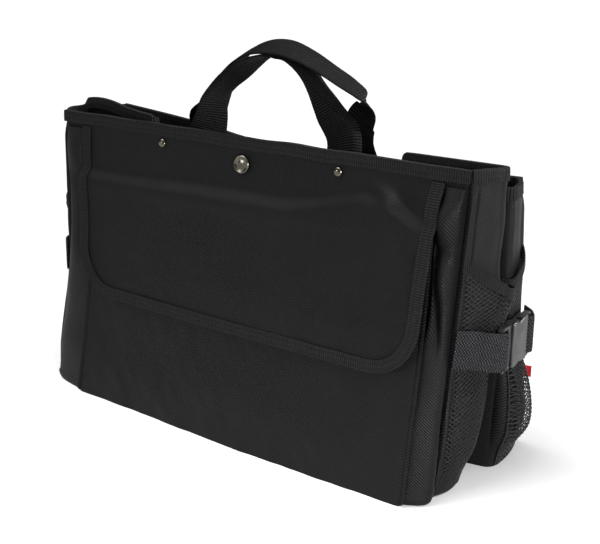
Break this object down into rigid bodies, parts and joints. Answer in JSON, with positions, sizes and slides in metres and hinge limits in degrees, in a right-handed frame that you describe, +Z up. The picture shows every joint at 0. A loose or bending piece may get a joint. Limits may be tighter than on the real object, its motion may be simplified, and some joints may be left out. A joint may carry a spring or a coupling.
{
  "type": "trunk organizer",
  "caption": "Black cloth trunk organizer, folded and standing, with a front flap pocket, webbing handles, net pockets and buckled side straps.",
  "frame": {"origin": "on the ground under the middle of the object's box", "axes": "+X to the right along the front, +Y from the front to the rear, +Z up"},
  "size_m": [0.5672, 0.1924, 0.4111],
  "materials": {
    "cloth": "matte twill",
    "tape": "ribbed satin",
    "webbing": "woven",
    "net": "open net",
    "plastic": "satin",
    "metal": "polished",
    "tab": "matte"
  },
  "bodies": {
    "root": {"front_wall": "cloth", "rear_wall": "cloth", "base_panel": "cloth", "front_pocket_face": "cloth", "front_pocket_gusset": "cloth", "flap": "cloth", "side_panel_left": "cloth", "side_panel_right": "cloth", "flap_binding": "tape", "front_binding": "tape", "rear_binding": "tape", "side_binding_left": "tape", "side_binding_right": "tape", "net_hem_front_left": "tape", "net_hem_front_right": "tape", "net_hem_rear_left": "tape", "net_hem_rear_right": "tape", "front_handle": "webbing", "rear_handle": "webbing", "strap_front_left": "webbing", "strap_front_right": "webbing", "strap_rear_left": "webbing", "strap_rear_right": "webbing", "net_front_left": "net", "net_front_right": "net", "net_rear_left": "net", "net_rear_right": "net", "buckle_tongue_left": "plastic", "buckle_tongue_right": "plastic", "buckle_socket_left": "plastic", "buckle_socket_right": "plastic", "rivet_left": "metal", "rivet_right": "metal", "snap_cap": "metal", "seam_tab": "tab"}
  },
  "joints": []
}
